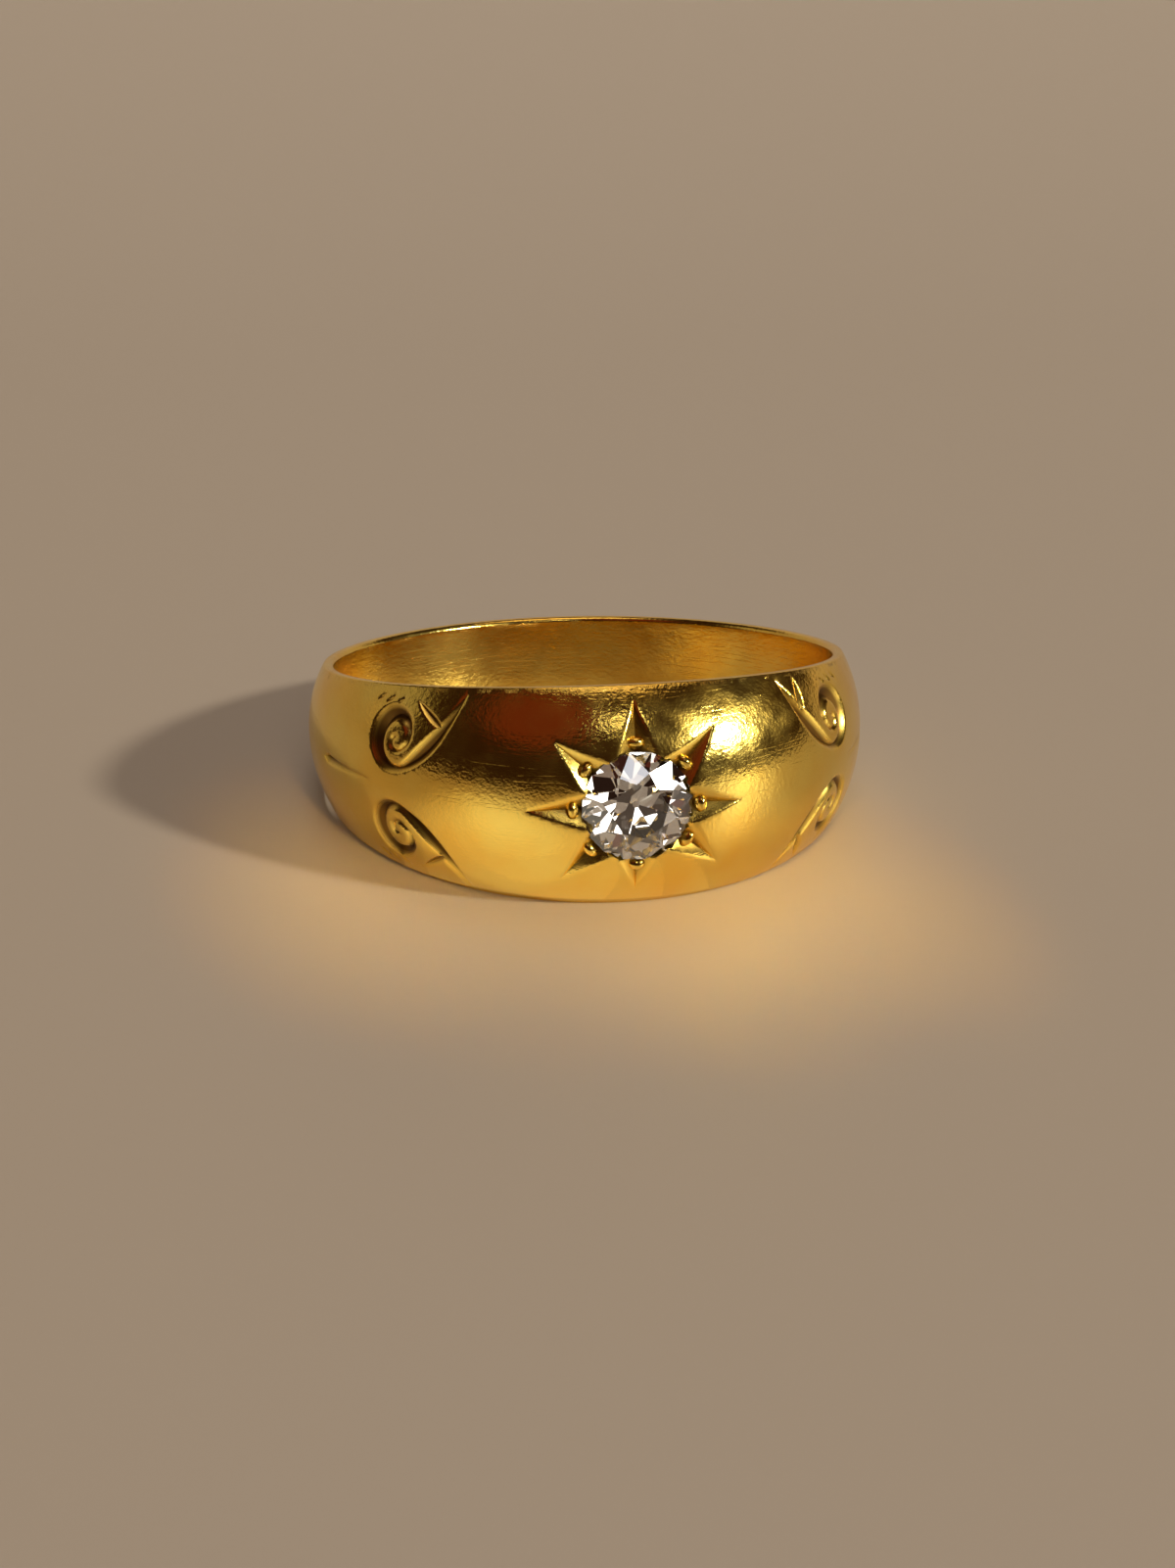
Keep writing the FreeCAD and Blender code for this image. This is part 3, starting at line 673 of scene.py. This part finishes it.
# Floor, light and camera
# A plain pale floor that sweeps up behind, a small hard key light from the
# right, broad warm light from above, weak lamps that give the polish something
# to mirror, and a dim warm room.
FLOOR_HALF = 1.5
SWEEP_START = 0.07
SWEEP_RADIUS = 0.40
SWEEP_TURN, SWEEP_STEPS = 1.2, 40
run = np.linspace(0, SWEEP_TURN, SWEEP_STEPS)
back_y = SWEEP_START + SWEEP_RADIUS * np.sin(run)
back_z = SWEEP_RADIUS * (1 - np.cos(run))
floor_y, floor_z = np.append(-FLOOR_HALF, back_y), np.append(0, back_z)
floor_points = np.stack([np.tile([[-FLOOR_HALF], [FLOOR_HALF]], len(floor_y)),
                         np.tile(floor_y, (2, 1)), np.tile(floor_z, (2, 1))], -1).reshape(-1, 3)
floor_mesh = bpy.data.meshes.new("floor")
floor_mesh.from_pydata(floor_points.tolist(), [], grid_faces(2, len(floor_y))[:, ::-1].tolist())
floor_mesh.shade_smooth()
floor = bpy.data.objects.new("floor", floor_mesh)
bpy.context.scene.collection.objects.link(floor)
pale = bpy.data.materials.new("pale_floor")
pale.use_nodes = True
shader = pale.node_tree.nodes["Principled BSDF"]
shader.inputs["Base Color"].default_value = (0.325, 0.262, 0.196, 1)
shader.inputs["Roughness"].default_value = 0.5
shader.inputs["IOR"].default_value = 1.6
floor.data.materials.append(pale)


def aim(azimuth, elevation, roll=0.0):
    """A turn whose own Z axis points back at the given azimuth and elevation."""
    a, e, r = map(math.radians, (azimuth, elevation, roll))
    back = np.array([math.sin(a) * math.cos(e), -math.cos(a) * math.cos(e), math.sin(e)])
    right = np.array([math.cos(a), math.sin(a), 0])
    up = np.cross(back, right)
    across = math.cos(r) * right + math.sin(r) * up
    upward = math.cos(r) * up - math.sin(r) * right
    return Matrix(np.stack([across, upward, back], 1).tolist())


def lamp(kind, name, power, colour, stands):
    """A lamp of one kind, with its power and colour, at its place and turn."""
    made = bpy.data.lights.new(name, kind)
    made.energy = power
    made.color = colour
    thing = bpy.data.objects.new(name, made)
    thing.matrix_world = stands
    bpy.context.scene.collection.objects.link(thing)
    return thing


def disk(name, size, power, colour, stands):
    """A round soft lamp."""
    thing = lamp("AREA", name, power, colour, stands)
    thing.data.shape = "DISK"
    thing.data.size = size
    return thing


def light(name, azimuth, elevation, distance, size, power, colour):
    """A round soft lamp at a bearing from the ring's head, facing the ring."""
    turned = aim(azimuth, elevation)
    stands = Matrix.Translation(turned.col[2] * distance) @ turned.to_4x4()
    return disk(name, size, power, colour, stands)


# Three lamps don't show in the gold: one for the floor, one for the stone, and
# one that stands behind the ring and lights the far end of the floor.
light("key", 57, 29, 2.4, 0.19, 55.0, (1.0, 0.96, 0.87))
light("ceiling", 150, 80, 1.4, 1.0, 2.4, (1.0, 0.80, 0.70))
light("window", 8, 54, 0.8, 0.12, 0.13, (0.95, 0.95, 1.0))
light("curtain", -44, 52, 0.8, 0.60, 0.080, (1.0, 0.14, 0.07))
light("left_wall", -116, 20, 0.9, 0.60, 0.26, (1.0, 0.84, 0.62))
sky = light("sky", 150, 80, 1.4, 1.0, 1.8, (1.0, 0.76, 0.46))
gem_light = light("gem_light", -5, 42, 1.4, 1.0, 9.0, (1.0, 0.95, 0.88))
behind = Matrix.Translation((0.0, 0.16, 0.40)) @ aim(0, 62).to_4x4()
back_light = disk("back_light", 0.20, 0.30, (0.85, 0.90, 1.0), behind)
for unseen in (sky, gem_light, back_light):
    unseen.visible_glossy = False

# Soft cards lie one over another before the ring's left, out of the camera's
# sight. They show in the gold alone, brighter toward the smallest in the middle.
# A card's power is its glow times pi times the area of its ellipse.
CARDS = 7
CARD_GLOW = 0.072
LARGEST_CARD, SMALLEST_CARD = np.array([0.042, 0.018]), np.array([0.010, 0.005])
LARGEST_LIES = np.array([-0.0158, -0.0186, 0.0002])
SMALLEST_LIES = np.array([-0.0113, -0.0152, 0.0004])
CARD_TURN = 30
face_up = Matrix.Rotation(math.radians(CARD_TURN), 4, "Z") @ Matrix.Rotation(math.pi, 4, "X")
for f in np.linspace(0, 1, CARDS):
    long, wide = LARGEST_CARD + (SMALLEST_CARD - LARGEST_CARD) * f
    lies = Matrix.Translation(LARGEST_LIES + (SMALLEST_LIES - LARGEST_LIES) * f) @ face_up
    power = CARD_GLOW * math.pi * long * wide * math.pi / 4
    card = lamp("AREA", "card", power, (1.0, 0.97, 0.80), lies)
    card.data.shape = "ELLIPSE"
    card.data.size, card.data.size_y = long, wide
    card.visible_camera = False

# The gold throws warm patches of the key light down on the floor before it.
GLOWS = [
    {"spot": (-0.0092, -0.0072, 0), "power": 0.27},
    {"spot": (-0.0040, -0.0104, 0), "power": 0.13},
    {"spot": (0.0018, -0.0109, 0), "power": 0.29},
    {"spot": (0.0073, -0.0093, 0), "power": 0.25},
]
GLOW_DISTANCE = 0.060
GLOW_DEGREES = 8.5
GLOW_SOFTNESS = 0.004
turned = aim(10, 36)
for one in GLOWS:
    place = Vector(one["spot"]) + turned.col[2] * GLOW_DISTANCE
    stands = Matrix.Translation(place) @ turned.to_4x4()
    glow = lamp("SPOT", "glow", one["power"], (1.0, 0.62, 0.10), stands)
    glow.data.spot_size = math.radians(GLOW_DEGREES)
    glow.data.spot_blend = 1.0
    glow.data.shadow_soft_size = GLOW_SOFTNESS
    glow.visible_glossy = False

world = bpy.data.worlds.new("dim_room")
bpy.context.scene.world = world
world.use_nodes = True
room = world.node_tree.nodes["Background"]
room.inputs["Color"].default_value = (0.022, 0.010, 0.006, 1)
room.inputs["Strength"].default_value = 1.0

CAMERA_PLACE = (-0.012666, -0.072726, 0.032998)
CAMERA_AZIMUTH, CAMERA_ELEVATION, CAMERA_ROLL = -9.953, 23.901, 0.933
lens = bpy.data.cameras.new("camera")
lens.sensor_fit = "HORIZONTAL"
lens.sensor_width = 36.0
lens.lens = 66.29
lens.clip_start = 0.001
camera = bpy.data.objects.new("camera", lens)
looks = aim(CAMERA_AZIMUTH, CAMERA_ELEVATION, CAMERA_ROLL).to_4x4()
camera.matrix_world = Matrix.Translation(CAMERA_PLACE) @ looks
bpy.context.scene.collection.objects.link(camera)
bpy.context.scene.camera = camera

bpy.context.scene.view_settings.view_transform = "Standard"
bpy.context.view_layer.update()
